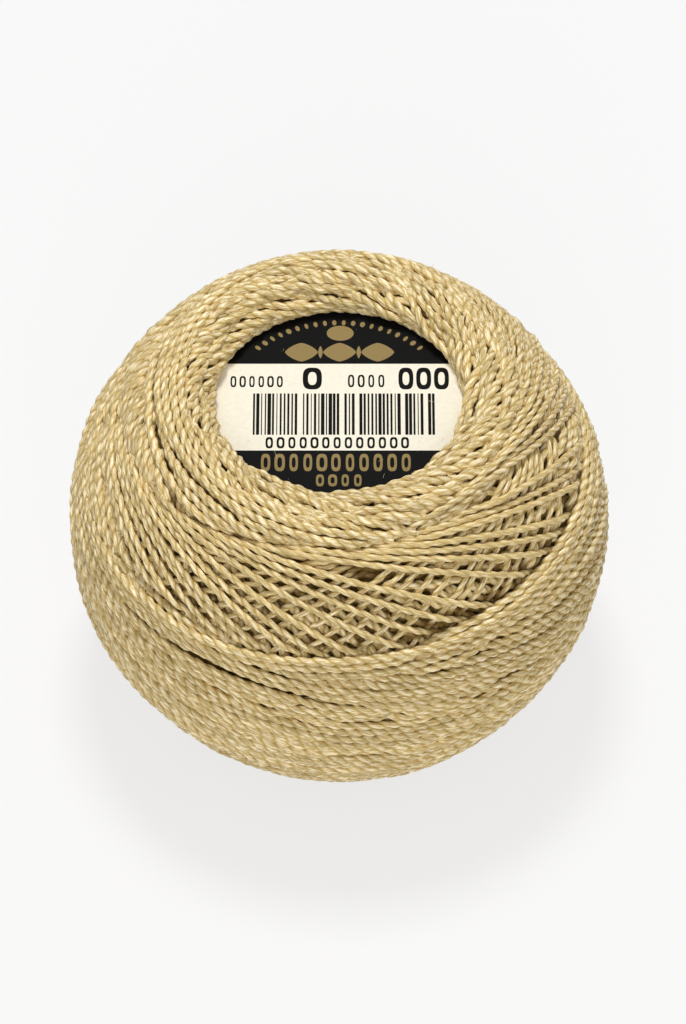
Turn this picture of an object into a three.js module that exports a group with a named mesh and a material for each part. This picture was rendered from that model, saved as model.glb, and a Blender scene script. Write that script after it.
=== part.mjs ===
// A small machine-wound ball of two-ply cotton thread, standing on one end.
// The turns leave a round hole along the axis, and a printed card disc closes
// the upper end of it. Millimetres, +Z up, origin at the middle of the base.
import * as THREE from "three";

// Driving sizes of the ball.
const BALL_HEIGHT = 34.8; // between the crowns of its two dished ends
const SHOULDER_RADIUS = 22.7; // of the round shoulders, from the ball's centre
const BAND_PROUD = 0.4; // how far the last turns stand out round the belly
const BAND_LATITUDE = 15; // degrees, where the belly band stops
const BAND_LEAN = 2.5; // degrees, how much higher the band runs on the +X side
const BAND_EDGE = 4; // degrees over which the band's edge rounds off

// The hole that the turns leave, and the flat ring that the ball stands on.
const HOLE_RADIUS = 10.3;
const CROWN_RADIUS = 13.4; // where each end is highest
const DISH_DEPTH = 3.3; // from a crown down to the straight wall of the hole
const REST_HALF_WIDTH = 1.1; // of the flat ring at the bottom crown

// The card disc, and the groove between the turns that grips its edge.
const DISC_RADIUS = 10.9;
const DISC_THICKNESS = 0.5;
const CLEARANCE = 0.3;

// Main twists: thick bundles of turns that run round the ball at a slant. Each
// shows where it runs down, and is buried under later ones where it climbs.
const TWIST_COUNT = 13;
const TWIST_TILT = 40; // degrees between a bundle and the belly
const TWIST_PROUD = 0.6;
const TWIST_HALF_WIDTH = 2.0;
const TWIST_FADE = 8; // degrees over which the bundles flatten into an end
const OVERLAP_START = -0.1; // sine of the angle past its top where one shows
const OVERLAP_FULL = 0.3; // and where it stands at its full height

// How finely the round forms are faceted.
const ROUND_STEPS = 84;
const SHOULDER_STEPS = 28;
const CROWN_STEPS = 5;

const COTTON = { color: 0xd2b983, roughness: 0.6, metalness: 0 };
const CARD = { color: 0xf1ecd8, roughness: 0.45, metalness: 0 };

const { degToRad, smoothstep } = THREE.MathUtils;
const HALF_HEIGHT = BALL_HEIGHT / 2;
const DISC_TOP = HALF_HEIGHT - DISH_DEPTH; // above the ball's centre

// The roll between a shoulder and a crown: an arc that touches the shoulder's
// circle from inside and is level at the crown.
const ROLL_RADIUS =
  (SHOULDER_RADIUS ** 2 - HALF_HEIGHT ** 2 - CROWN_RADIUS ** 2) /
  (2 * (SHOULDER_RADIUS - HALF_HEIGHT));
const ROLL_HEIGHT = HALF_HEIGHT - ROLL_RADIUS;
const ROLL_START = Math.atan2(ROLL_HEIGHT, CROWN_RADIUS);

// Points of an elliptical arc, angles from the outward direction upwards.
function arcPoints(centre, across, up, from, to, steps) {
  const points = [];
  for (let i = 0; i <= steps; i++) {
    const angle = from + ((to - from) * i) / steps;
    points.push(
      new THREE.Vector2(
        centre.x + across * Math.cos(angle),
        centre.y + up * Math.sin(angle),
      ),
    );
  }
  return points;
}

// The upper end from the top of the shoulder, over the crown, to the hole.
function endPoints() {
  const rollCentre = new THREE.Vector2(CROWN_RADIUS, ROLL_HEIGHT);
  const dishCentre = new THREE.Vector2(
    CROWN_RADIUS,
    HALF_HEIGHT - DISH_DEPTH,
  );
  const roll = arcPoints(
    rollCentre,
    ROLL_RADIUS,
    ROLL_RADIUS,
    ROLL_START,
    Math.PI / 2,
    CROWN_STEPS,
  );
  const dish = arcPoints(
    dishCentre,
    CROWN_RADIUS - HOLE_RADIUS,
    DISH_DEPTH,
    Math.PI / 2,
    Math.PI,
    CROWN_STEPS,
  );
  return [...roll.slice(1), ...dish.slice(1)];
}

// The groove in the wall of the hole, from above the disc to below it.
function groovePoints() {
  const depth = DISC_RADIUS + CLEARANCE;
  const top = DISC_TOP + CLEARANCE;
  const bottom = DISC_TOP - DISC_THICKNESS - CLEARANCE;
  return [
    new THREE.Vector2(depth, top),
    new THREE.Vector2(depth, bottom),
    new THREE.Vector2(HOLE_RADIUS, bottom),
  ];
}

// Half of the ball's section, closed on itself, with its centre at height 0.
function ballProfile() {
  const middle = new THREE.Vector2(0, 0);
  const shoulder = arcPoints(
    middle,
    SHOULDER_RADIUS,
    SHOULDER_RADIUS,
    -ROLL_START,
    ROLL_START,
    SHOULDER_STEPS,
  );
  const upperEnd = endPoints();
  const mirrored = (p) => new THREE.Vector2(p.x, -p.y);
  const lowerEnd = upperEnd.map(mirrored).reverse();
  const lip = upperEnd[upperEnd.length - 1];
  lip.y += CLEARANCE;
  const profile = [...shoulder, ...upperEnd, ...groovePoints(), ...lowerEnd];
  profile.push(profile[0].clone());
  return profile;
}

// How far the belly band stands out in this direction from the centre.
function bandAt(direction) {
  const latitude = THREE.MathUtils.radToDeg(Math.asin(direction.z));
  const edge = BAND_LATITUDE + BAND_LEAN * direction.x * Math.sign(latitude);
  const past = Math.abs(latitude) - edge;
  return BAND_PROUD * (1 - smoothstep(past, -BAND_EDGE / 2, BAND_EDGE / 2));
}

// How far the slanting bundles stand out in this direction from the centre.
function twistsAt(direction) {
  let most = 0;
  for (let i = 0; i < TWIST_COUNT; i++) {
    const turn = (i * 2 * Math.PI) / TWIST_COUNT;
    const tilt = degToRad(TWIST_TILT);
    const axis = new THREE.Vector3(
      Math.sin(tilt) * Math.cos(turn),
      Math.sin(tilt) * Math.sin(turn),
      Math.cos(tilt),
    );
    const away = SHOULDER_RADIUS * Math.asin(axis.dot(direction));
    const pastTop = Math.atan2(direction.y, direction.x) - turn - Math.PI;
    const onTop = smoothstep(Math.sin(pastTop), OVERLAP_START, OVERLAP_FULL);
    const ridge = Math.exp(-((away / TWIST_HALF_WIDTH) ** 2));
    most = Math.max(most, onTop * ridge);
  }
  return TWIST_PROUD * (most - 1);
}

// The share of the twists' height that shows: none at the ends and the hole.
function twistShare(point) {
  const across = Math.hypot(point.x, point.y);
  const latitude = Math.atan2(Math.abs(point.z), across);
  const belowRoll = ROLL_START - latitude;
  return across < CROWN_RADIUS
    ? 0
    : smoothstep(belowRoll, 0, degToRad(TWIST_FADE));
}

// Winds the bundles and the band onto the plain round form, and flattens the
// ring that the ball stands on.
function shapeTurns(geometry) {
  const places = geometry.getAttribute("position");
  const point = new THREE.Vector3();
  for (let i = 0; i < places.count; i++) {
    point.fromBufferAttribute(places, i);
    const direction = point.clone().normalize();
    const share = twistShare(point);
    const proud = (bandAt(direction) + twistsAt(direction)) * share;
    point.addScaledVector(direction, proud);
    const acrossRing = Math.abs(Math.hypot(point.x, point.y) - CROWN_RADIUS);
    if (point.z < -ROLL_HEIGHT && acrossRing < REST_HALF_WIDTH) {
      point.z = -HALF_HEIGHT;
    }
    places.setXYZ(i, point.x, point.y, point.z);
  }
  return geometry;
}

function woundBall() {
  const geometry = new THREE.LatheGeometry(ballProfile(), ROUND_STEPS);
  geometry.rotateX(Math.PI / 2);
  shapeTurns(geometry);
  const material = new THREE.MeshStandardMaterial(COTTON);
  const ball = new THREE.Mesh(geometry, material);
  ball.name = "wound_ball";
  return ball;
}

function labelDisc() {
  const geometry = new THREE.CylinderGeometry(
    DISC_RADIUS,
    DISC_RADIUS,
    DISC_THICKNESS,
    ROUND_STEPS,
  );
  geometry.rotateX(Math.PI / 2);
  const disc = new THREE.Mesh(geometry, new THREE.MeshStandardMaterial(CARD));
  disc.name = "label_disc";
  disc.position.z = DISC_TOP - DISC_THICKNESS / 2;
  return disc;
}

const ballOfThread = new THREE.Group();
ballOfThread.position.z = HALF_HEIGHT;
ballOfThread.add(woundBall(), labelDisc());

export default ballOfThread;
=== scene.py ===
"""A small ball of two-ply cotton thread, wound round a hole that a card disc closes.

Lengths are in millimetres until a mesh is made, which is in metres.
"""

import math
from typing import NamedTuple

import bmesh
import bpy
import numpy as np
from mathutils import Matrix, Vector


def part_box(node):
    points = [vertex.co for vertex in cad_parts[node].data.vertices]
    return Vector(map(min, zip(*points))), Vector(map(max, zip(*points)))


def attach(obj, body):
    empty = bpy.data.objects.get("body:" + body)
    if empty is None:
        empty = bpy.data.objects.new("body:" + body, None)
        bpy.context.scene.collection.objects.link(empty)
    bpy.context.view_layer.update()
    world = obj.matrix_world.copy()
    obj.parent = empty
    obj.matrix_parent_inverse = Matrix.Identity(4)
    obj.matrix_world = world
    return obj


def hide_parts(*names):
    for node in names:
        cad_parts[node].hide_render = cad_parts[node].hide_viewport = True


bl_info = {
    "name": "Ball of cotton thread",
    "version": (1, 0, 0),
    "blender": (4, 5, 0),
    "location": "3D View > Sidebar > Thread",
    "description": "Winds a ball of two-ply thread round a hole with a card disc in it",
    "category": "Add Mesh",
}

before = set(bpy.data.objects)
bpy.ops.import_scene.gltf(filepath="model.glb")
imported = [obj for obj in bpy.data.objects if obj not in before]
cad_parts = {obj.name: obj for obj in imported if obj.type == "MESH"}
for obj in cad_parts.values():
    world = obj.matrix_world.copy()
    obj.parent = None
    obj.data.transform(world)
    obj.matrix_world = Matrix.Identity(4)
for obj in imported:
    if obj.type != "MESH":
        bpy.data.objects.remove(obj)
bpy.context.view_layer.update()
BODY = "root"
MM = 0.001
BALL_LOW, BALL_HIGH = (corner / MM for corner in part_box("wound_ball"))
DISC_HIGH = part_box("label_disc")[1] / MM
HALF_HEIGHT = (BALL_HIGH.z - BALL_LOW.z) / 2
DISC_TOP = DISC_HIGH.z - HALF_HEIGHT  # above the ball's centre

# How finely a turn's route and the room between the turns are followed.
ROUTE_STEPS = 1400
STEPS_IN_TWIST = 8  # samples of a turn in each full turn of its twist
GRID_STEP = 0.15  # along the ball's outline, in mm
GRID_COLUMNS = 960  # round the ball
NEAR_ROWS, NEAR_COLUMNS = 5, 11  # cells that a turn can reach to each side
EVENED = 1.8  # length over which the finished surface is evened out, in mm
WALL = 2  # how far the outline runs down the wall of the hole, in mm

# How a turn lies among others, in thread widths.
FIT = 0.77  # least distance between two turns
HIDES = 0.47  # how far from its middle a turn hides those under it
FILLS = 0.3  # how far from its middle it fills the surface
SLIDE = 0.9  # how far a turn can move sideways
SLIDE_CHOICES = 21

# How even the winding is, in mm unless it says otherwise.
UNEVEN = 0.25  # how far a turn is from its place, as a share of the step between turns
WANDER = 0.11  # how far a turn leaves its plane
WANDER_BY_SPREAD = 0.09  # and how much more for each degree of spread
WANDER_WAVES = 7  # waves in it
LEVELS = (-0.25, 0.05)  # heights of the turns that lie on top

# What each sample of a turn costs as the turn picks its way.
OFF_COURSE = 0.45  # times the square of its slide, in thread widths
LOW_LYING = 0.4  # for each thread width that it has to go down, up to one
OUT_OF_SIGHT = 0.5  # where a later turn hides it
PAST_LIP = 3  # where it would slip off the lip of the hole
STEP_ASIDE = 0.12  # for each change of its slide

# How a turn goes under others, and which stretches of it are made. Lengths are in mm.
DIVE = 0.8  # how steeply it goes down
DIVE_EASED = (15, 18)  # places between which dives get flatter
DIVE_EASING = 0.6  # and how much flatter
DIVE_SAMPLES = 30  # most samples over which it goes down
LINES_LOOKED_AT = 5  # along a turn
SIGHT_SHARE = 0.24  # least share of them in sight where the turn shows
SIGHT_REACH = 0.5  # how far to each side that share is evened out
RUN_ON = 1.1  # how far a turn runs on out of sight

# The open window, where spaced turns leave the inner ones bare. Lengths are in mm.
DEEPEST = -1.5  # height of the deepest turns that show in it
DEEPEST_ELSEWHERE = -0.66  # and of those that show anywhere else
WINDOW_FOOT = (7, 8)  # places between which it opens
WINDOW_HEAD = (16, 17.5)  # and closes again
WINDOW_MIDDLE = math.radians(13)  # round the axis from the near side
WINDOW_SIDES = (66, 78)  # degrees from its middle between which it closes

# How the thread is made. Lengths are in mm.
SUNK = 0.2  # how far the middle of a turn lies under the outline
TWIST_VARIES = 0.08  # how much looser or tighter the twist of a turn is, at most
FIBRE_LAG = 0.85  # share of the twist that the fine fibres undo, so as to run along the thread
FIBRE_RING = 0.35  # radius round which their pattern runs
FUZZ = 0.002  # loose fibres for each corner of the thread's mesh
FUZZ_ON_CARD = 14  # loose fibres
FUZZ_DEPTH = -0.5  # height below which there are none
FUZZ_RADIUS = 0.011
FUZZ_LENGTHS = (0.3, 0.9)
INSIDE_DEPTH = 1.5  # of the buried turns under the outline
INSIDE_DEPTH_AT_HOLE = 0.9
INSIDE_STEPS = 120  # round the axis


class Stage(NamedTuple):
    """One stage of the winding. Angles are in degrees.

    A turn's top is the point where it comes nearest the upper end. It's counted round the axis
    from the near side, anticlockwise from above. The slope is the tilt of the turn's plane, spread
    is how much it varies between turns, and the rise is how far up the ball the middle of the turn
    lies. The girth is the share of the thread's width that a turn keeps, and a taut turn shows
    less of its twist.
    """

    name: str
    turns: int
    top_from: float
    top_to: float
    slope_from: float
    slope_to: float
    spread: float = 0
    rise_from: float = 0
    rise_to: float = 0
    girth: float = 1
    taut: float = 0


WINDING = (
    Stage("core", 90, 2909, 1829, 50, 28, 2),
    Stage("lip", 52, 1829, 1469, 66, 65, 0.5),
    Stage("mouth", 76, 1469, 1109, 64.5, 59.5, 0.8),
    Stage("rim", 78, 1109, 749, 59, 54.5, 0.9),
    Stage("brow", 80, 749, 389, 54.5, 49, 1.0),
    Stage("upper", 56, 389, 209, 49, 48, 1.3),
    Stage("shoulder", 30, 209, 115, 48, 46.5, 1.3),
    Stage("collar", 14, -100, -85, 8, 6, 1, 37.5, 46.5),
    Stage("under", 16, 128, 33, 46.5, 46, 1, girth=0.74),
    Stage("open", 7, 30, -20, 42.8, 41.4, girth=0.77, taut=1),
    Stage("slanting", 5, -26, -64, 39.5, 36, girth=0.77, taut=0.6),
    Stage("left", 7, -66, -104, 36, 29.5, girth=0.8),
    Stage("lower", 38, -104, -225, 28, 19, 0.5),
    Stage("waist", 50, -225, -790, 17, 15, 0.7),
    Stage("edge", 5, 70, 80, 2.5, 2.5, 1.5, 12.5, 18.7),
    Stage("belly", 20, -740, -800, 9, 8, 1.5, -9, 9, girth=0.9),
    Stage("last", 14, -865, -880, 13, 11, 1.2, 7.5, -14),
)


class ThreadBallSizes(bpy.types.PropertyGroup):
    """Sizes of the thread and the ball, in millimetres."""

    thread_width: bpy.props.FloatProperty(
        name="Thread width", description="Across both plies, in mm", default=0.84, min=0.1
    )
    twist_length: bpy.props.FloatProperty(
        name="Twist length", description="Along a full turn of the twist, in mm",
        default=2.35, min=0.2
    )
    shoulder_radius: bpy.props.FloatProperty(
        name="Shoulder radius", description="From the ball's centre, in mm", default=22.7
    )
    crown_radius: bpy.props.FloatProperty(
        name="Crown radius", description="Where each end is highest, in mm", default=13.4
    )
    hole_radius: bpy.props.FloatProperty(name="Hole radius", description="In mm", default=10.3)
    band_proud: bpy.props.FloatProperty(
        name="Belly band", description="How far the last turns stand out, in mm", default=0.25
    )
    band_latitude: bpy.props.FloatProperty(
        name="Belly band's edge", description="In degrees from the middle of the belly", default=18
    )
    seed: bpy.props.IntProperty(
        name="Seed", description="Of all the small irregularities", default=8
    )


def colour(name, description, value):
    """A colour property."""
    return bpy.props.FloatVectorProperty(
        name=name, description=description, subtype="COLOR", default=value
    )


class ThreadBallColours(bpy.types.PropertyGroup):
    """Colours of the thread and of the printed card."""

    cotton: colour("Cotton", "The thread's own colour", (0.71, 0.532, 0.222))
    # Painted highlight on the crests of the plies; on the loose fibres, a paler tone in random
    # patches.
    cream_and_highlight: colour("Cream", "Where the thread catches the light", (0.94, 0.82, 0.56))
    # Painted shade: the colour of the groove between the plies, and of the buried turns away from
    # the hole's wall.
    shaded_groove: colour("Groove", "Between the two plies", (0.56, 0.375, 0.1))
    # Painted shade: the colour deep between the turns in the open window, and between the rows of
    # the buried form.
    gap: colour("Gap", "Deep between the turns", (0.2, 0.112, 0.018))
    card: colour("Card", "The bare card", (0.89, 0.84, 0.7))
    black: colour("Black", "The card's dark print", (0.006, 0.006, 0.006))
    gold: colour("Gold", "The card's gold print", (0.29, 0.21, 0.085))


def smooth_step(value, low, high):
    share = np.clip((value - low) / (high - low), 0, 1)
    return share * share * (3 - 2 * share)


class Outline:
    """The ball's smooth outline, as points from the middle of the belly up into the hole.

    A place on the ball is its distance along the outline from the belly, negative on the lower
    half. An angle is counted round the axis from the near side.
    """

    def __init__(self, sizes):
        radius, crown, hole = sizes.shoulder_radius, sizes.crown_radius, sizes.hole_radius
        self.radius = radius
        roll = (radius**2 - HALF_HEIGHT**2 - crown**2) / (2 * (radius - HALF_HEIGHT))
        roll_height = HALF_HEIGHT - roll
        turn = math.atan2(roll_height, crown)
        shoulder = np.linspace(0, turn, 200)
        over = np.linspace(turn, math.pi / 2, 80)[1:]
        dish = np.linspace(math.pi / 2, math.pi, 80)[1:]
        wall = np.linspace(0, WALL, 20)[1:]
        self.r = np.concatenate([
            radius * np.cos(shoulder),
            crown + roll * np.cos(over),
            crown + (crown - hole) * np.cos(dish),
            np.full(wall.shape, hole),
        ])
        self.z = np.concatenate([
            radius * np.sin(shoulder),
            roll_height + roll * np.sin(over),
            DISC_TOP + (HALF_HEIGHT - DISC_TOP) * np.sin(dish),
            DISC_TOP - wall,
        ])
        steps = np.hypot(np.diff(self.r), np.diff(self.z))
        self.along = np.concatenate([[0], np.cumsum(steps)])
        self.out_r = np.gradient(self.z, self.along)
        self.out_z = -np.gradient(self.r, self.along)
        self.end = self.along[-1]
        self.lip = self.end - WALL - 0.6 * sizes.thread_width
        self.band_proud = sizes.band_proud
        self.band_edge = radius * math.radians(sizes.band_latitude)

    def across(self, place):
        """Distance of a place from the axis."""
        return np.interp(np.abs(place), self.along, self.r)

    def proud(self, place):
        """How far the finished turns stand out of the plain outline."""
        past_edge = smooth_step(np.abs(place), self.band_edge - 0.5, self.band_edge + 0.5)
        return self.band_proud * (1 - past_edge)

    def points(self, place, angle, height):
        """Points in the frame of the ball's centre, at a height over the outline."""
        size = np.abs(place)
        side = np.sign(place)
        out_r = np.interp(size, self.along, self.out_r)
        out_z = np.interp(size, self.along, self.out_z) * side
        r = np.interp(size, self.along, self.r) + out_r * height
        z = np.interp(size, self.along, self.z) * side + out_z * height
        return np.stack([r * np.sin(angle), -r * np.cos(angle), z], axis=-1)


class Cover:
    """What the turns over the present one leave free, on a grid round the ball.

    The turns are placed from the last one inwards, so that those on top run evenly over the
    outline and each earlier one passes under them. Room is the greatest height at which a turn
    can run, layers is how many turns lie over each cell, and top is the height of the topmost.
    """

    def __init__(self, outline):
        self.outline = outline
        self.rows = int(2 * outline.end / GRID_STEP) + 1
        self.room = np.zeros((self.rows, GRID_COLUMNS))
        self.layers = np.zeros((self.rows, GRID_COLUMNS))
        self.top = np.full((self.rows, GRID_COLUMNS), DEEPEST)

    def cells(self, place, angle):
        row = np.rint((place + self.outline.end) / GRID_STEP).astype(int)
        column = np.rint(angle * GRID_COLUMNS / (2 * math.pi)).astype(int)
        return np.clip(row, 0, self.rows - 1), column % GRID_COLUMNS

    def around(self, place, angle, reach):
        """Grid cells within reach of a route, their squared distances, and the nearby samples."""
        row, column = self.cells(place, angle)
        column_width = self.outline.across(place) * 2 * math.pi / GRID_COLUMNS
        rows = np.arange(-NEAR_ROWS, NEAR_ROWS + 1)
        columns = np.arange(-NEAR_COLUMNS, NEAR_COLUMNS + 1)
        row = row[:, None, None] + rows[None, :, None]
        aside = columns[None, None, :] * column_width[:, None, None]
        column = (column[:, None, None] + columns[None, None, :]) % GRID_COLUMNS
        away = (rows[None, :, None] * GRID_STEP) ** 2 + aside**2
        near = (away < reach**2) & (row >= 0) & (row < self.rows)
        sample = np.broadcast_to(np.arange(len(place))[:, None, None], near.shape)[near]
        return (row * GRID_COLUMNS + column)[near], away[near], sample

    def lay(self, turn, width):
        """Adds a turn to the grid."""
        shown = turn.shown
        cell, _, _ = self.around(turn.place[shown], turn.angle[shown], HIDES * width)
        self.layers.reshape(-1)[np.unique(cell)] += 1
        reach = FIT * width
        cell, away, sample = self.around(turn.place[shown], turn.angle[shown], reach)
        below = turn.height[shown][sample] - np.sqrt(reach**2 - away)
        np.minimum.at(self.room.reshape(-1), cell, below)
        cell, _, sample = self.around(turn.place[shown], turn.angle[shown], FILLS * width)
        np.maximum.at(self.top.reshape(-1), cell, turn.height[shown][sample])

    def hollows(self):
        """How far the topmost turns lie below the outline, evened out over a few millimetres."""
        top = self.top
        # The highest cell of every seven stands for them, which closes the gaps between turns.
        for axis in (0, 1):
            top = np.max([np.roll(top, shift, axis) for shift in range(-3, 4)], axis=0)
        places = np.arange(self.rows) * GRID_STEP - self.outline.end
        wound = np.broadcast_to(np.abs(places)[:, None] < self.outline.lip + 0.3, top.shape)
        rows = np.fft.fftfreq(self.rows, GRID_STEP)
        columns = np.fft.fftfreq(GRID_COLUMNS, 2 * math.pi * self.outline.radius / GRID_COLUMNS)
        keep = np.exp(-2 * (math.pi * EVENED) ** 2 * (rows[:, None] ** 2 + columns**2))
        smooth = [np.fft.ifft2(np.fft.fft2(grid) * keep).real for grid in (top * wound, wound)]
        return -smooth[0] / np.maximum(smooth[1], 0.1)


def window_share(place, angle):
    """How far a spot lies inside the open window, from 0 to 1."""
    up = smooth_step(place, *WINDOW_FOOT) * (1 - smooth_step(place, *WINDOW_HEAD))
    aside = np.degrees((angle - WINDOW_MIDDLE + math.pi) % (2 * math.pi) - math.pi)
    return up * (1 - smooth_step(np.abs(aside), *WINDOW_SIDES))


def ring_mean(values, reach):
    """Running mean round a closed turn, over reach samples to each side."""
    total = values.copy()
    for step in range(1, reach + 1):
        total += np.roll(values, step, axis=-1) + np.roll(values, -step, axis=-1)
    return total / (2 * reach + 1)


def easiest_path(cost):
    """The row to take in each column so that the cost is least, a row up or down at a time."""
    rows, columns = cost.shape
    total = np.zeros(rows)
    back = np.zeros((2 * columns, rows), int)
    for column in range(2 * columns):
        wall = np.full(1, 1e9)
        up = np.concatenate([wall, total[:-1]])
        down = np.concatenate([total[1:], wall])
        stay_or_step = np.stack([total, up + STEP_ASIDE, down + STEP_ASIDE])
        choice = np.argmin(stay_or_step, axis=0)
        back[column] = np.arange(rows) + np.array([0, -1, 1])[choice]
        total = stay_or_step[choice, np.arange(rows)] + cost[:, column % columns]
    path = np.zeros(2 * columns, int)
    row = int(np.argmin(total))
    for column in range(2 * columns - 1, -1, -1):
        path[column] = row
        row = back[column][row]
    half = columns // 2
    return np.concatenate([path[columns : columns + half], path[half:columns]])


def wander(random, count, size):
    """A smooth closed wave of about this size, made of a few random ones."""
    turn = np.linspace(0, 2 * math.pi, count, endpoint=False)
    total = np.zeros(count)
    for wave in range(1, WANDER_WAVES + 1):
        size_of_wave = random.normal() / math.sqrt(wave)
        total += size_of_wave * np.sin(wave * turn + random.uniform(0, 2 * math.pi))
    return total * size / math.sqrt(WANDER_WAVES)


class Turn:
    """One closed turn of thread: where it runs, how high it lies, and which parts of it show."""

    def __init__(self, stage, outline, top, slope, rise, step, random):
        self.stage = stage.name
        self.girth = stage.girth
        self.taut = stage.taut
        self.tone = random.uniform(-1, 1)
        round_turn = np.linspace(0, 2 * math.pi, ROUTE_STEPS, endpoint=False)
        tilt = math.radians(slope)
        latitude = np.arcsin(math.sin(tilt) * np.cos(round_turn))
        angle = np.arctan2(np.sin(round_turn), math.cos(tilt) * np.cos(round_turn))
        angle = np.unwrap(angle) + math.radians(top)
        latitude += math.radians(rise) * np.cos(latitude)
        place = outline.radius * latitude
        place += wander(random, ROUTE_STEPS, WANDER + WANDER_BY_SPREAD * stage.spread)
        place = np.clip(place, -outline.lip, outline.lip)
        spots = outline.points(place, angle, 0)
        lengths = np.linalg.norm(np.roll(spots, -1, axis=0) - spots, axis=1)
        travelled = np.concatenate([[0], np.cumsum(lengths)])
        self.count = int(round(travelled[-1] / step))
        self.step = travelled[-1] / self.count
        even = np.arange(self.count) * self.step
        self.place = np.interp(even, travelled, np.append(place, place[0]))
        self.angle = np.interp(even, travelled, np.append(angle, angle[0] + 2 * math.pi))

    def sideways(self, outline, offset):
        """The route moved sideways by an offset."""
        across = outline.across(self.place)
        rise = np.roll(self.place, -1) - np.roll(self.place, 1)
        ahead = np.roll(self.angle, -1) - np.roll(self.angle, 1)
        ahead = (ahead + math.pi) % (2 * math.pi) - math.pi
        run = ahead * across
        length = np.hypot(rise, run)
        return self.place + offset * run / length, self.angle - offset * rise / length / across

    def settle(self, cover, outline, width, level):
        """Slides the turn beside those over it where there's room, and elsewhere under them."""
        offsets = np.linspace(-1, 1, SLIDE_CHOICES) * SLIDE * width
        cells = [cover.cells(*self.sideways(outline, offset)) for offset in offsets]
        depths = -np.stack([cover.room[cell] for cell in cells]) / width
        free = np.stack([cover.layers[cell] == 0 for cell in cells])
        # There's room where at least two of five lines along the thread are free.
        beside = np.pad(free, ((4, 4), (0, 0)), mode="edge")
        free = np.sum([beside[shift : shift + len(offsets)] for shift in (0, 2, 4, 6, 8)], axis=0)
        cost = OFF_COURSE * (offsets[:, None] / width) ** 2
        cost = cost + np.where(free > 1, LOW_LYING * np.minimum(depths, 1), OUT_OF_SIGHT)
        places = np.stack([self.sideways(outline, offset)[0] for offset in offsets])
        cost += PAST_LIP * (np.abs(places) > outline.lip + 0.01)
        self.place, self.angle = self.sideways(outline, offsets[easiest_path(cost)])
        self.place = np.clip(self.place, -outline.lip, outline.lip)
        self.find_shown(cover, outline, width)
        inside = window_share(self.place, self.angle)
        deepest = DEEPEST_ELSEWHERE + (DEEPEST - DEEPEST_ELSEWHERE) * inside
        room = cover.room[cover.cells(self.place, self.angle)]
        height = np.where(self.shown, np.clip(room, deepest, level), level)
        # Thin turns go down more gently.
        dive = DIVE * self.girth**3
        dive = dive * (1 - DIVE_EASING * smooth_step(np.abs(self.place), *DIVE_EASED))
        for _ in range(DIVE_SAMPLES):
            beside = np.minimum(np.roll(height, 1), np.roll(height, -1))
            height = np.minimum(height, beside + dive * self.step)
        self.height = ring_mean(height, 2)
        # How deep the turn lies in the open window; the cotton paints shade on it by this.
        self.depth = self.height * inside

    def find_shown(self, cover, outline, width):
        """Marks the samples that no later turn hides."""
        free = np.zeros(self.count)
        for offset in np.linspace(-0.4, 0.4, LINES_LOOKED_AT) * width:
            free += cover.layers[cover.cells(*self.sideways(outline, offset))] == 0
        reach = int(round(SIGHT_REACH / self.step))
        shown = ring_mean(free / LINES_LOOKED_AT, reach) > SIGHT_SHARE
        for _ in range(int(round(RUN_ON / self.step))):
            shown = shown | np.roll(shown, 1) | np.roll(shown, -1)
        self.shown = shown


def wind_turns(sizes, outline):
    """Places every turn of the winding, from the last to the first."""
    random = np.random.default_rng(sizes.seed)
    step = sizes.twist_length / STEPS_IN_TWIST
    turns = []
    for stage in WINDING:
        for number in range(stage.turns):
            share = (number + random.uniform(-UNEVEN, UNEVEN)) / stage.turns
            top = stage.top_from + (stage.top_to - stage.top_from) * share
            slope = stage.slope_from + (stage.slope_to - stage.slope_from) * share
            slope += random.uniform(-1, 1) * stage.spread
            rise = stage.rise_from + (stage.rise_to - stage.rise_from) * share
            turns.append(Turn(stage, outline, top, slope, rise, step, random))
    cover = Cover(outline)
    for turn in reversed(turns):
        width = sizes.thread_width * turn.girth
        turn.settle(cover, outline, width, random.uniform(*LEVELS))
        cover.lay(turn, width)
    hollows = cover.hollows()
    for turn in turns:
        turn.height += hollows[cover.cells(turn.place, turn.angle)]
    return turns


def shown_arcs(turn):
    """Index lists of the stretches of a turn that show, and whether the turn is whole."""
    if turn.shown.all():
        return [(np.arange(turn.count), True)]
    first = int(np.argmin(turn.shown))
    order = (np.arange(turn.count) + first) % turn.count
    shown = turn.shown[order]
    edges = np.flatnonzero(np.diff(np.concatenate([[0], shown.astype(int), [0]])))
    starts, ends = edges[::2], edges[1::2]
    return [(order[a:b], False) for a, b in zip(starts, ends) if b - a > 3]


def new_object(name, data):
    """Puts a mesh, curve, lamp or camera in the scene."""
    made = bpy.data.objects.new(name, data)
    bpy.context.collection.objects.link(made)
    return made


# Corners of the thread's section, in half widths.
UPPER_CORNERS = ((0.9, 0.3), (0.36, 0.64), (-0.36, 0.64), (-0.9, 0.3))
PLY_CORNERS = UPPER_CORNERS + tuple((-x, -y) for x, y in UPPER_CORNERS)


def ply_section(width):
    """A closed curve round two plies that lie side by side."""
    curve = bpy.data.curves.new("ply_section", "CURVE")
    spline = curve.splines.new("POLY")
    spline.points.add(len(PLY_CORNERS) - 1)
    for point, (x, y) in zip(spline.points, PLY_CORNERS):
        point.co = (x * width / 2 * MM, y * width / 2 * MM, 0, 1)
    spline.use_cyclic_u = True
    return new_object("ply_section", curve)


def mesh_from_curve(name, curve):
    """Makes a smooth piece from a curve."""
    holder = new_object(name, curve)
    bpy.context.view_layer.update()
    evaluated = holder.evaluated_get(bpy.context.evaluated_depsgraph_get())
    mesh = bpy.data.meshes.new_from_object(evaluated)
    mesh.name = name
    bpy.data.objects.remove(holder)
    mesh.shade_smooth()
    return new_object(name, mesh)


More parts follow.
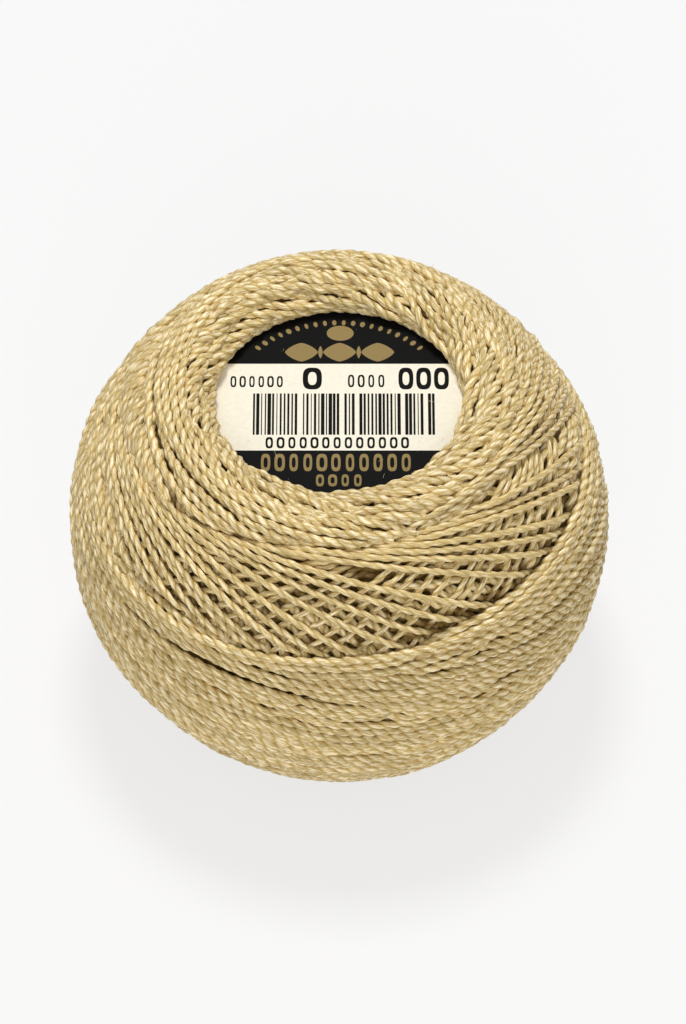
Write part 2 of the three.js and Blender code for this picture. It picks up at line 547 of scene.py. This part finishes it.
def thread_piece(name, turns, outline, sizes):
    """Makes the stretches that show of some turns as one mesh of twisted thread."""
    curve = bpy.data.curves.new(name, "CURVE")
    curve.dimensions = "3D"
    curve.twist_mode = "MINIMUM"
    curve.bevel_mode = "OBJECT"
    curve.bevel_object = ply_section(sizes.thread_width)
    samples = []  # of each stretch: tone, depth, tautness, length along it and turn of the twist
    random = np.random.default_rng(sizes.seed + 1)
    for turn in turns:
        for index, whole in shown_arcs(turn):
            place, angle = turn.place[index], turn.angle[index]
            height = turn.height[index]
            spots = outline.points(place, angle, height + outline.proud(place) - SUNK)
            spots[:, 2] += HALF_HEIGHT
            along = np.arange(len(index)) * turn.step
            pitch = sizes.twist_length * (1 + TWIST_VARIES * turn.tone) / turn.girth**0.5
            half_turns = 2 * len(index) * turn.step / pitch
            if whole:
                half_turns = round(half_turns)
            tilt = np.arange(len(index)) / len(index) * half_turns * math.pi
            tilt += random.uniform(0, math.pi)
            spline = curve.splines.new("POLY")
            spline.points.add(len(index) - 1)
            corners = np.column_stack([spots * MM, np.ones(len(index))])
            spline.points.foreach_set("co", corners.ravel())
            spline.points.foreach_set("tilt", tilt)
            spline.points.foreach_set("radius", np.full(len(index), turn.girth))
            spline.use_cyclic_u = whole
            spline.use_smooth = True
            tone, taut = np.full(len(index), turn.tone), np.full(len(index), turn.taut)
            along += random.uniform(0, 99)
            samples.append(np.stack([tone, turn.depth[index], taut, along, tilt]))
    section = curve.bevel_object
    piece = mesh_from_curve(name, curve)
    bpy.data.objects.remove(section)
    mesh = piece.data
    samples = np.concatenate(samples, axis=1)
    corners = np.array(PLY_CORNERS)
    expected = len(corners) * samples.shape[1]
    assert len(mesh.vertices) == expected, "the rings of the thread don't match"
    tone, depth, taut, along, tilt = np.repeat(samples, len(corners), axis=1)
    x, y = np.tile(corners, (samples.shape[1], 1)).T
    facing = np.arctan2(y, x) - FIBRE_LAG * tilt
    values = {"tone": tone, "depth": depth, "taut": taut, "crest": x / np.hypot(x, y)}
    for key, value in values.items():
        layer = mesh.attributes.new(key, "FLOAT", "POINT")
        layer.data.foreach_set("value", value.astype(np.float32))
    round_thread = FIBRE_RING * np.cos(facing), FIBRE_RING * np.sin(facing)
    fibre = np.column_stack([along, *round_thread])
    layer = mesh.attributes.new("fibre", "FLOAT_VECTOR", "POINT")
    layer.data.foreach_set("vector", fibre.ravel().astype(np.float32))
    spots = np.zeros(3 * len(mesh.vertices), np.float32)
    mesh.vertices.foreach_get("co", spots)
    spots[2::3] = np.maximum(spots[2::3], 0)
    mesh.vertices.foreach_set("co", spots)
    # Close the ends of the stretches.
    form = bmesh.new()
    form.from_mesh(mesh)
    bmesh.ops.holes_fill(form, edges=[edge for edge in form.edges if edge.is_boundary])
    bmesh.ops.triangulate(form, faces=form.faces, quad_method="SHORT_EDGE")
    form.to_mesh(mesh)
    form.free()
    return piece


def fuzz_piece(name, spots, normals, random):
    """Makes short loose fibres that stand out at some spots, as one mesh."""
    curve = bpy.data.curves.new(name, "CURVE")
    curve.dimensions = "3D"
    curve.bevel_depth = FUZZ_RADIUS * MM
    curve.bevel_resolution = 0
    for spot, normal in zip(spots, normals):
        sway = random.normal(size=3)
        sway -= 0.6 * normal * (sway @ normal)
        bend = random.normal(size=3) * 0.25
        reach = random.uniform(*FUZZ_LENGTHS)
        share = np.linspace(0, 1, 5)[:, None]
        path = spot + share * reach * (0.35 * normal + 0.5 * sway) + share**2 * reach * bend
        path[:, 2] = np.maximum(path[:, 2], 0.02)
        spline = curve.splines.new("POLY")
        spline.points.add(4)
        spline.points.foreach_set("co", np.column_stack([path * MM, np.ones(5)]).ravel())
    return mesh_from_curve(name, curve)


def value_of(tree, socket, value):
    """Sets an input to a number or a colour, or links another node's output to it."""
    if isinstance(value, bpy.types.NodeSocket):
        tree.links.new(value, socket)
    elif hasattr(socket.default_value, "__len__") and len(socket.default_value) == 4:
        socket.default_value = (*value, 1)
    else:
        socket.default_value = value


def add(tree, kind, settings=None, **inputs):
    """Adds a node with its settings, and gives its named inputs their values."""
    node = tree.nodes.new(kind)
    for key, value in (settings or {}).items():
        setattr(node, key, value)
    for key, value in inputs.items():
        value_of(tree, node.inputs[key.replace("_", " ")], value)
    return node


def maths(tree, operation, *values):
    """The output of a Math node."""
    node = add(tree, "ShaderNodeMath", {"operation": operation})
    for socket, value in zip(node.inputs, values):
        value_of(tree, socket, value)
    return node.outputs["Value"]


def product(tree, first, second):
    return maths(tree, "MULTIPLY", first, second)


def between(tree, value, low, high, to_low=0.0, to_high=1.0):
    """Maps a value smoothly from one range to another and keeps it inside."""
    ends = {"From_Min": low, "From_Max": high, "To_Min": to_low, "To_Max": to_high}
    settings = {"interpolation_type": "SMOOTHSTEP"}
    return add(tree, "ShaderNodeMapRange", settings, Value=value, **ends).outputs["Result"]


def blend(tree, share, first, second):
    """Mixes two colours."""
    node = add(tree, "ShaderNodeMix", {"data_type": "RGBA"})
    for name, value in (("Factor_Float", share), ("A_Color", first), ("B_Color", second)):
        value_of(tree, next(each for each in node.inputs if each.identifier == name), value)
    return next(each for each in node.outputs if each.identifier == "Result_Color")


def scaled(tree, value, amount):
    """Multiplies a colour or a vector by a number."""
    node = add(tree, "ShaderNodeVectorMath", {"operation": "SCALE"}, Vector=value, Scale=amount)
    return node.outputs["Vector"]


def combine(tree, x, y=0.0, z=0.0):
    return add(tree, "ShaderNodeCombineXYZ", X=x, Y=y, Z=z).outputs["Vector"]


def spot_in_mm(tree):
    """The object's own coordinates, in mm."""
    return scaled(tree, add(tree, "ShaderNodeTexCoord").outputs["Object"], 1 / MM)


def distance_from_axis(tree, parts):
    squares = (maths(tree, "POWER", parts[axis], 2) for axis in "XY")
    return maths(tree, "SQRT", maths(tree, "ADD", *squares))


def noise(tree, place, scale, detail):
    return add(tree, "ShaderNodeTexNoise", Vector=place, Scale=scale, Detail=detail).outputs["Fac"]


def attribute(tree, name):
    return add(tree, "ShaderNodeAttribute", {"attribute_name": name})


def new_group(name, numbers, masks):
    """A shader node group that takes coordinates and numbers and puts out masks."""
    tree = bpy.data.node_groups.new(name, "ShaderNodeTree")
    new_socket = tree.interface.new_socket
    new_socket("Coordinates", in_out="INPUT", socket_type="NodeSocketVector")
    for number, value in numbers.items():
        new_socket(number, in_out="INPUT", socket_type="NodeSocketFloat").default_value = value
    for mask in masks:
        new_socket(mask, in_out="OUTPUT", socket_type="NodeSocketFloat")
    return tree, tree.nodes.new("NodeGroupInput").outputs, tree.nodes.new("NodeGroupOutput").inputs


def use_group(tree, group, **inputs):
    return add(tree, "ShaderNodeGroup", {"node_tree": group}, **inputs).outputs


def fibre_group():
    """Fine streaks along a thread, from coordinates in mm that run along it in X. Made once."""
    if "fibres" in bpy.data.node_groups:
        return bpy.data.node_groups["fibres"]
    numbers = {"Stretch": 0.14, "Fineness": 8}
    tree, given, result = new_group("fibres", numbers, ("Streaks", "Patches"))
    parts = add(tree, "ShaderNodeSeparateXYZ", Vector=given["Coordinates"]).outputs
    drawn = combine(tree, product(tree, parts["X"], given["Stretch"]), parts["Y"], parts["Z"])
    streaks = noise(tree, drawn, given["Fineness"], 3.0)
    patches = noise(tree, given["Coordinates"], 0.8, 1.0)
    value_of(tree, result["Streaks"], between(tree, streaks, 0.3, 0.7))
    value_of(tree, result["Patches"], between(tree, patches, 0.3, 0.7))
    return tree


def marks_group():
    """A row of plain round-cornered marks in the box that the inputs give, in mm."""
    numbers = {"Left": -1, "Right": 1, "Low": -1, "High": 1, "Count": 5, "Width": 0.7}
    numbers |= {"Unevenness": 0, "Squareness": 4, "Left out": 0}
    tree, given, result = new_group("row_of_marks", numbers, ("Mask",))
    parts = add(tree, "ShaderNodeSeparateXYZ", Vector=given["Coordinates"]).outputs
    run = maths(tree, "SUBTRACT", given["Right"], given["Left"])
    share = maths(tree, "DIVIDE", maths(tree, "SUBTRACT", parts["X"], given["Left"]), run)
    cell = product(tree, share, given["Count"])
    number = maths(tree, "FLOOR", cell)
    one_way = {"noise_dimensions": "1D"}
    chance = add(tree, "ShaderNodeTexWhiteNoise", one_way, W=number)
    other = add(tree, "ShaderNodeTexWhiteNoise", one_way, W=maths(tree, "ADD", number, 77.3))
    width = product(tree, chance.outputs["Value"], given["Unevenness"])
    width = maths(tree, "SUBTRACT", given["Width"], width)
    x = maths(tree, "SUBTRACT", maths(tree, "FRACT", cell), 0.5)
    x = maths(tree, "DIVIDE", maths(tree, "ABSOLUTE", x), product(tree, width, 0.5))
    middle = product(tree, maths(tree, "ADD", given["Low"], given["High"]), 0.5)
    half = product(tree, maths(tree, "SUBTRACT", given["High"], given["Low"]), 0.5)
    y = maths(tree, "ABSOLUTE", maths(tree, "SUBTRACT", parts["Y"], middle))
    y = maths(tree, "DIVIDE", y, half)
    x, y = (maths(tree, "POWER", value, given["Squareness"]) for value in (x, y))
    inside = maths(tree, "LESS_THAN", maths(tree, "ADD", x, y), 1)
    inside = product(tree, inside, maths(tree, "LESS_THAN", number, given["Count"]))
    inside = product(tree, inside, maths(tree, "GREATER_THAN", number, -0.5))
    kept = maths(tree, "GREATER_THAN", other.outputs["Value"], given["Left out"])
    value_of(tree, result["Mask"], product(tree, inside, kept))
    return tree


def new_material(name):
    material = bpy.data.materials.new(name)
    material.use_nodes = True
    tree = material.node_tree
    return material, tree, tree.nodes["Principled BSDF"].inputs


PAINTED_SHADE_DEPTHS = (-0.68, -1.02)  # heights between which painted shade darkens the turns in the open window, in mm


def cotton_material(colours, fibres):
    """Two-ply cotton with painted light: painted shade between the plies, a painted cream highlight
    on their crests, and painted shade deep between the turns in the open window.
    """
    material, tree, shader = new_material("cotton")
    names = ("tone", "depth", "taut", "crest")
    tone, depth, taut, crest = (attribute(tree, name).outputs["Fac"] for name in names)
    strands = use_group(tree, fibres, Coordinates=attribute(tree, "fibre").outputs["Vector"])
    slack = between(tree, taut, 0, 1, 1, 0.55)
    crest = maths(tree, "ABSOLUTE", crest)
    # Painted shade in the groove between the plies, less on taut turns; the same mask also roughens
    # the surface there and sinks it in the bump.
    shaded_groove = product(tree, between(tree, crest, 0.0, 0.58, 1, 0), slack)
    # Painted highlight: the crests of the plies turn cream, less on taut turns and where the fibre
    # streaks are faint.
    cream_and_highlight = product(tree, between(tree, crest, 0.3, 0.9, 0.2, 0.9), slack)
    cream_and_highlight = product(tree, cream_and_highlight, between(tree, strands["Streaks"], 0.2, 1, 0, 1))
    skin = blend(tree, cream_and_highlight, colours.cotton, colours.cream_and_highlight)
    skin = blend(tree, product(tree, shaded_groove, 0.8), skin, colours.shaded_groove)
    light = product(tree, tone, 0.07)
    light = maths(tree, "ADD", light, between(tree, strands["Streaks"], 0, 1, 0.8, 1.1))
    light = maths(tree, "ADD", light, between(tree, strands["Patches"], 0, 1, -0.06, 0.05))
    skin = scaled(tree, skin, light)
    # Painted shade: the deeper a turn lies in the open window, the nearer its colour comes to the
    # dark gap shade.
    buried = between(tree, depth, *PAINTED_SHADE_DEPTHS, 0, 0.92)
    value_of(tree, shader["Base Color"], blend(tree, buried, skin, colours.gap))
    rough = between(tree, strands["Streaks"], 0, 1, 0.5, 0.36)
    value_of(tree, shader["Roughness"], maths(tree, "ADD", rough, product(tree, shaded_groove, 0.5)))
    shader["Specular IOR Level"].default_value = 0.36
    relief = maths(tree, "SUBTRACT", product(tree, strands["Streaks"], 0.15), shaded_groove)
    bump = add(tree, "ShaderNodeBump", Height=relief, Distance=0.12 * MM, Strength=0.6)
    value_of(tree, shader["Normal"], bump.outputs["Normal"])
    return material


def fuzz_material(colours, fibres):
    """Loose fibres, paler in some places than in others."""
    material, tree, shader = new_material("fuzz")
    strands = use_group(tree, fibres, Coordinates=spot_in_mm(tree))
    skin = blend(tree, strands["Patches"], colours.cotton, colours.cream_and_highlight)
    value_of(tree, shader["Base Color"], skin)
    value_of(tree, shader["Roughness"], between(tree, strands["Streaks"], 0, 1, 0.6, 0.45))
    return material


# The rows of thread on the buried form, in mm.
ROW_WIDTH = 0.68
PLY_LENGTH = 1.03  # from one ply to the next along a row
ROW_SWAY = 0.8  # how far the rows rise and fall round the ball
ROW_RADIUS = 20  # of the ball, where its rows are counted
WALL_EDGE = (11.6, 12.4)  # distances from the axis between which the wall of the hole ends


def inner_material(colours, fibres):
    """The buried turns: rows of thread in relief, with painted shade that darkens them away from
    the hole's wall and between the rows.
    """
    material, tree, shader = new_material("inner_cotton")
    parts = add(tree, "ShaderNodeSeparateXYZ", Vector=spot_in_mm(tree)).outputs
    across = distance_from_axis(tree, parts)
    angle = maths(tree, "ARCTAN2", parts["Y"], parts["X"])
    up = maths(tree, "SUBTRACT", parts["Z"], HALF_HEIGHT)
    wall = between(tree, across, *WALL_EDGE, 1, 0)
    latitude = product(tree, maths(tree, "ARCTAN2", up, across), ROW_RADIUS)
    row = blend(tree, wall, combine(tree, latitude), combine(tree, up))
    row = add(tree, "ShaderNodeSeparateXYZ", Vector=row).outputs["X"]
    sway = product(tree, maths(tree, "SINE", angle), ROW_SWAY)
    row = maths(tree, "DIVIDE", maths(tree, "ADD", row, sway), ROW_WIDTH)
    arc = product(tree, angle, across)
    ridge = maths(tree, "ABSOLUTE", maths(tree, "SINE", product(tree, row, math.pi)))
    slant = maths(tree, "ADD", maths(tree, "DIVIDE", arc, PLY_LENGTH), row)
    ply = maths(tree, "ABSOLUTE", maths(tree, "SINE", product(tree, slant, math.pi)))
    ply = maths(tree, "ADD", product(tree, ply, 0.35), 0.65)
    relief = product(tree, ridge, ply)
    strands = use_group(tree, fibres, Coordinates=combine(tree, arc, row, up))
    # Painted shade: away from the hole's wall the buried turns take the groove's shade colour; only
    # the open wall keeps the cotton's colour.
    skin = blend(tree, wall, colours.shaded_groove, colours.cotton)
    # Painted shade between the rows, where the relief is low.
    skin = blend(tree, between(tree, relief, 0.15, 0.8, 0.8, 0), skin, colours.gap)
    light = between(tree, strands["Streaks"], 0, 1, 0.85, 1.1)
    value_of(tree, shader["Base Color"], scaled(tree, skin, light))
    shader["Roughness"].default_value = 0.6
    bump = add(tree, "ShaderNodeBump", Height=relief, Distance=0.3 * MM, Strength=0.8)
    value_of(tree, shader["Normal"], bump.outputs["Normal"])
    return material


BAND_TOP, BAND_FOOT = 4.98, -4.68  # of the card's pale band, in mm
ARC_RADIUS = 9.6  # of the arc of dots, in mm


def card_material(colours):
    """Printed card: a pale band with bars and marks between two black ones with gold marks."""
    material, tree, shader = new_material("printed_card")
    marks = marks_group()
    spot = spot_in_mm(tree)
    parts = add(tree, "ShaderNodeSeparateXYZ", Vector=spot).outputs

    def row(left, right, low, high, count, width, uneven=0, square=4, left_out=0, where=spot):
        """Plain marks in a box in mm, each as wide as a share of its place."""
        values = {"Left": left, "Right": right, "Low": low, "High": high, "Count": count}
        values |= {"Width": width, "Unevenness": uneven, "Squareness": square, "Left_out": left_out}
        return use_group(tree, marks, Coordinates=where, **values)["Mask"]

    def any_of(masks):
        total = masks[0]
        for mask in masks[1:]:
            total = maths(tree, "MAXIMUM", total, mask)
        return total

    round_top = product(tree, maths(tree, "ARCTAN2", parts["X"], parts["Y"]), ARC_RADIUS)
    arc = combine(tree, round_top, distance_from_axis(tree, parts))

    def rings(left, right, low, high, count, width, stroke, uneven=0, left_out=0):
        """Marks with a hole in each, like plain zeros, and the width of their stroke in mm."""
        outer = row(left, right, low, high, count, width, uneven, 3, left_out)
        inside = (low + stroke, high - stroke, count, width * 0.45, uneven * 0.45, 2.5)
        return maths(tree, "SUBTRACT", outer, row(left, right, *inside))

    gold = any_of([
        row(-4.8, 4.9, 5.25, 7.35, 3, 0.86, square=1.4),  # lozenges, with slim ones between them
        row(-3.2, 3.3, 5.6, 7.0, 2, 0.12, square=1.4),
        row(-1.1, 1.3, 7.6, 9.3, 1, 0.95, square=2),  # an oval, and the arc of dots
        row(-8.0, 8.0, 9.35, 9.95, 20, 0.55, 0.2, 2, where=arc),
        rings(-6.7, 6.2, -6.95, -5.05, 11, 0.78, 0.38, 0.2, 0.08),
        rings(-2.1, 2.1, -8.6, -7.3, 4, 0.75, 0.3, 0.2),
    ])
    dark = any_of([
        rings(-9.3, -4.6, 2.35, 3.6, 6, 0.72, 0.2, 0.15),
        rings(-3.2, -1.3, 2.1, 4.55, 1, 0.85, 0.5),
        rings(0.6, 4.0, 2.35, 3.75, 4, 0.72, 0.2, 0.15),
        rings(4.9, 9.4, 2.1, 4.55, 3, 0.84, 0.5),
        row(-7.3, 8.1, -2.95, 1.65, 48, 0.95, 0.75, 40, 0.1),  # bars
        rings(-6.3, 6.0, -4.45, -3.2, 13, 0.72, 0.24, 0.1),
    ])
    above = maths(tree, "GREATER_THAN", parts["Y"], BAND_TOP)
    black = maths(tree, "MAXIMUM", above, maths(tree, "LESS_THAN", parts["Y"], BAND_FOOT))
    paper = noise(tree, spot, 3.0, 4.0)
    skin = scaled(tree, combine(tree, *colours.card), between(tree, paper, 0.3, 0.7, 0.96, 1.02))
    skin = blend(tree, black, skin, colours.black)
    skin = blend(tree, dark, skin, colours.black)
    skin = blend(tree, product(tree, gold, black), skin, colours.gold)
    value_of(tree, shader["Base Color"], skin)
    value_of(tree, shader["Roughness"], between(tree, paper, 0.3, 0.7, 0.4, 0.48))
    shader["Specular IOR Level"].default_value = 0.05
    bump = add(tree, "ShaderNodeBump", Height=paper, Distance=0.01 * MM, Strength=0.4)
    value_of(tree, shader["Normal"], bump.outputs["Normal"])
    return material


def place_cotton(piece, material):
    """Gives a piece of cotton its finish, and puts it on the ball's body."""
    piece.data.materials.append(material)
    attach(piece, BODY)


class THREAD_OT_wind_turns(bpy.types.Operator):
    """Winds the turns of thread"""

    bl_idname = "thread.wind_turns"
    bl_label = "Wind the turns"

    def execute(self, context):
        sizes = context.scene.thread_ball_sizes
        outline = Outline(sizes)
        turns = wind_turns(sizes, outline)
        material = cotton_material(context.scene.thread_ball_colours, fibre_group())
        for stage in WINDING:
            own = [turn for turn in turns if turn.stage == stage.name]
            piece = thread_piece(f"{stage.name}_turns", own, outline, sizes)
            place_cotton(piece, material)
        return {"FINISHED"}


class THREAD_OT_add_fuzz(bpy.types.Operator):
    """Adds the short loose fibres that stand out of the thread, and a few on the card"""

    bl_idname = "thread.add_fuzz"
    bl_label = "Add fuzz"

    def execute(self, context):
        colours = context.scene.thread_ball_colours
        random = np.random.default_rng(context.scene.thread_ball_sizes.seed + 2)
        spots, normals = [], []
        for stage in WINDING:
            mesh = bpy.data.objects[f"{stage.name}_turns"].data
            chosen = random.integers(0, len(mesh.vertices), int(len(mesh.vertices) * FUZZ))
            depths = mesh.attributes["depth"].data
            chosen = [int(index) for index in chosen if depths[int(index)].value > FUZZ_DEPTH]
            vertices = [mesh.vertices[index] for index in chosen]
            spots += [np.array(vertex.co) / MM for vertex in vertices]
            normals += [np.array(vertex.normal) for vertex in vertices]
        for _ in range(FUZZ_ON_CARD):
            angle, across = random.uniform(0, 2 * math.pi), random.uniform(6, 9.6)
            x, y = across * math.cos(angle), across * math.sin(angle)
            spots.append(np.array([x, y, DISC_HIGH.z + 0.03]))
            normals.append(np.array([0, 0, 0.2]))
        piece = fuzz_piece("fuzz", spots, normals, random)
        place_cotton(piece, fuzz_material(colours, fibre_group()))
        return {"FINISHED"}


class THREAD_OT_fill_inside(bpy.types.Operator):
    """Makes the buried turns under those that show, as one smooth form with painted shade on it"""

    bl_idname = "thread.fill_inside"
    bl_label = "Fill the inside"

    def execute(self, context):
        sizes = context.scene.thread_ball_sizes
        colours = context.scene.thread_ball_colours
        outline = Outline(sizes)
        upper = np.linspace(0, outline.end - 1.5, 60)
        places = np.concatenate([-upper[::-1], upper[1:]])
        angles = np.linspace(0, 2 * math.pi, INSIDE_STEPS, endpoint=False)
        angles, places = np.meshgrid(angles, places, indexing="ij")
        rise = INSIDE_DEPTH - INSIDE_DEPTH_AT_HOLE
        depths = INSIDE_DEPTH - rise * smooth_step(np.abs(places), outline.end - 7, outline.end - 2)
        spots = outline.points(places, angles, -depths).reshape(-1, 3)
        spots[:, 2] += HALF_HEIGHT
        corner = np.arange(len(spots)).reshape(places.shape)
        onward = np.roll(corner, -1, axis=0)
        faces = [corner, onward, np.roll(onward, -1, axis=1), np.roll(corner, -1, axis=1)]
        faces = np.stack(faces, axis=-1).reshape(-1, 4)
        mesh = bpy.data.meshes.new("inner_turns")
        mesh.from_pydata(spots * MM, [], faces)
        mesh.shade_smooth()
        piece = new_object("inner_turns", mesh)
        place_cotton(piece, inner_material(colours, fibre_group()))
        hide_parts("wound_ball")
        return {"FINISHED"}


class THREAD_OT_print_card(bpy.types.Operator):
    """Prints plain bars and marks on the card disc"""

    bl_idname = "thread.print_card"
    bl_label = "Print the card"

    def execute(self, context):
        disc = bpy.data.objects["label_disc"]
        material = card_material(context.scene.thread_ball_colours)
        for place in disc.material_slots:
            place.material = material
        return {"FINISHED"}


# The stage, in metres. A lamp has a name, a width, a power in watts and a place.
LAMPS = (
    ("overhead", 0.12, 1.42, (-0.015, 0.13, 0.49)),
    ("front", 0.25, 0.78, (-0.01, -0.42, 0.26)),
)
WORLD_LIGHT = 0.385
FLOOR_SEEN = (0.22, 0.22, 0.218)  # where the camera or a reflection meets the floor
FLOOR_GLOW = 0.715  # its own light there, which makes it nearly white
FLOOR_LIT = (0.87, 0.87, 0.875)  # its colour for all other light
ELEVATION = math.radians(50)  # of the camera over the floor
DISTANCE = 0.489  # of the camera from the spot that it aims at
OFF_CENTRE = 0.00034  # how far to the right of the ball's centre, and above it, that spot is


class THREAD_OT_set_stage(bpy.types.Operator):
    """Sets the floor, the lamps and the camera"""

    bl_idname = "thread.set_stage"
    bl_label = "Set the stage"

    def execute(self, context):
        scene = context.scene
        scene.view_settings.view_transform = "Standard"
        floor_mesh = bmesh.new()
        bmesh.ops.create_grid(floor_mesh, x_segments=1, y_segments=1, size=2)
        mesh = bpy.data.meshes.new("floor")
        floor_mesh.to_mesh(mesh)
        floor_mesh.free()
        floor = new_object("floor", mesh)
        material, tree, shader = new_material("floor")
        rays = add(tree, "ShaderNodeLightPath").outputs
        seen = maths(tree, "MAXIMUM", rays["Is Glossy Ray"], rays["Is Transmission Ray"])
        seen = maths(tree, "MAXIMUM", rays["Is Camera Ray"], seen)
        skin = blend(tree, seen, FLOOR_LIT, FLOOR_SEEN)
        value_of(tree, shader["Base Color"], skin)
        shader["Roughness"].default_value = 0.9
        shader["Specular IOR Level"].default_value = 0.0
        value_of(tree, shader["Emission Color"], (1, 1, 1))
        value_of(tree, shader["Emission Strength"], product(tree, seen, FLOOR_GLOW))
        floor.data.materials.append(material)
        world = bpy.data.worlds.new("studio")
        world.use_nodes = True
        sky = world.node_tree.nodes["Background"].inputs
        sky["Color"].default_value = (1, 1, 1, 1)
        sky["Strength"].default_value = WORLD_LIGHT
        scene.world = world
        for name, size, energy, spot in LAMPS:
            lamp = bpy.data.lights.new(name, "AREA")
            lamp.size = size
            lamp.energy = energy
            holder = new_object(name, lamp)
            holder.location = spot
            holder.rotation_mode = "QUATERNION"
            holder.rotation_quaternion = (-holder.location).to_track_quat("-Z", "Y")
        camera = bpy.data.cameras.new("camera")
        camera.lens = 200
        camera.sensor_width = 36
        eye = new_object("camera", camera)
        back = Vector((0, -math.cos(ELEVATION), math.sin(ELEVATION)))
        up = Vector((0, math.sin(ELEVATION), math.cos(ELEVATION)))
        target = Vector((OFF_CENTRE, 0, HALF_HEIGHT * MM)) + up * OFF_CENTRE
        eye.location = target + back * DISTANCE
        eye.rotation_mode = "QUATERNION"
        eye.rotation_quaternion = (-back).to_track_quat("-Z", "Y")
        scene.camera = eye
        return {"FINISHED"}


class THREAD_PT_ball(bpy.types.Panel):
    """Lists the steps that make the ball of thread"""

    bl_idname = "THREAD_PT_ball"
    bl_label = "Ball of thread"
    bl_space_type = "VIEW_3D"
    bl_region_type = "UI"
    bl_category = "Thread"

    def draw(self, context):
        for step in STEPS:
            self.layout.operator(step.bl_idname)


STEPS = (
    THREAD_OT_fill_inside,
    THREAD_OT_wind_turns,
    THREAD_OT_add_fuzz,
    THREAD_OT_print_card,
    THREAD_OT_set_stage,
)
CLASSES = (ThreadBallSizes, ThreadBallColours, *STEPS, THREAD_PT_ball)


def register():
    for each in CLASSES:
        bpy.utils.register_class(each)
    bpy.types.Scene.thread_ball_sizes = bpy.props.PointerProperty(type=ThreadBallSizes)
    bpy.types.Scene.thread_ball_colours = bpy.props.PointerProperty(type=ThreadBallColours)


def unregister():
    del bpy.types.Scene.thread_ball_colours
    del bpy.types.Scene.thread_ball_sizes
    for each in reversed(CLASSES):
        bpy.utils.unregister_class(each)


def main():
    register()
    bpy.ops.thread.fill_inside()
    bpy.ops.thread.wind_turns()
    bpy.ops.thread.add_fuzz()
    bpy.ops.thread.print_card()
    bpy.ops.thread.set_stage()


if __name__ == "__main__":
    main()
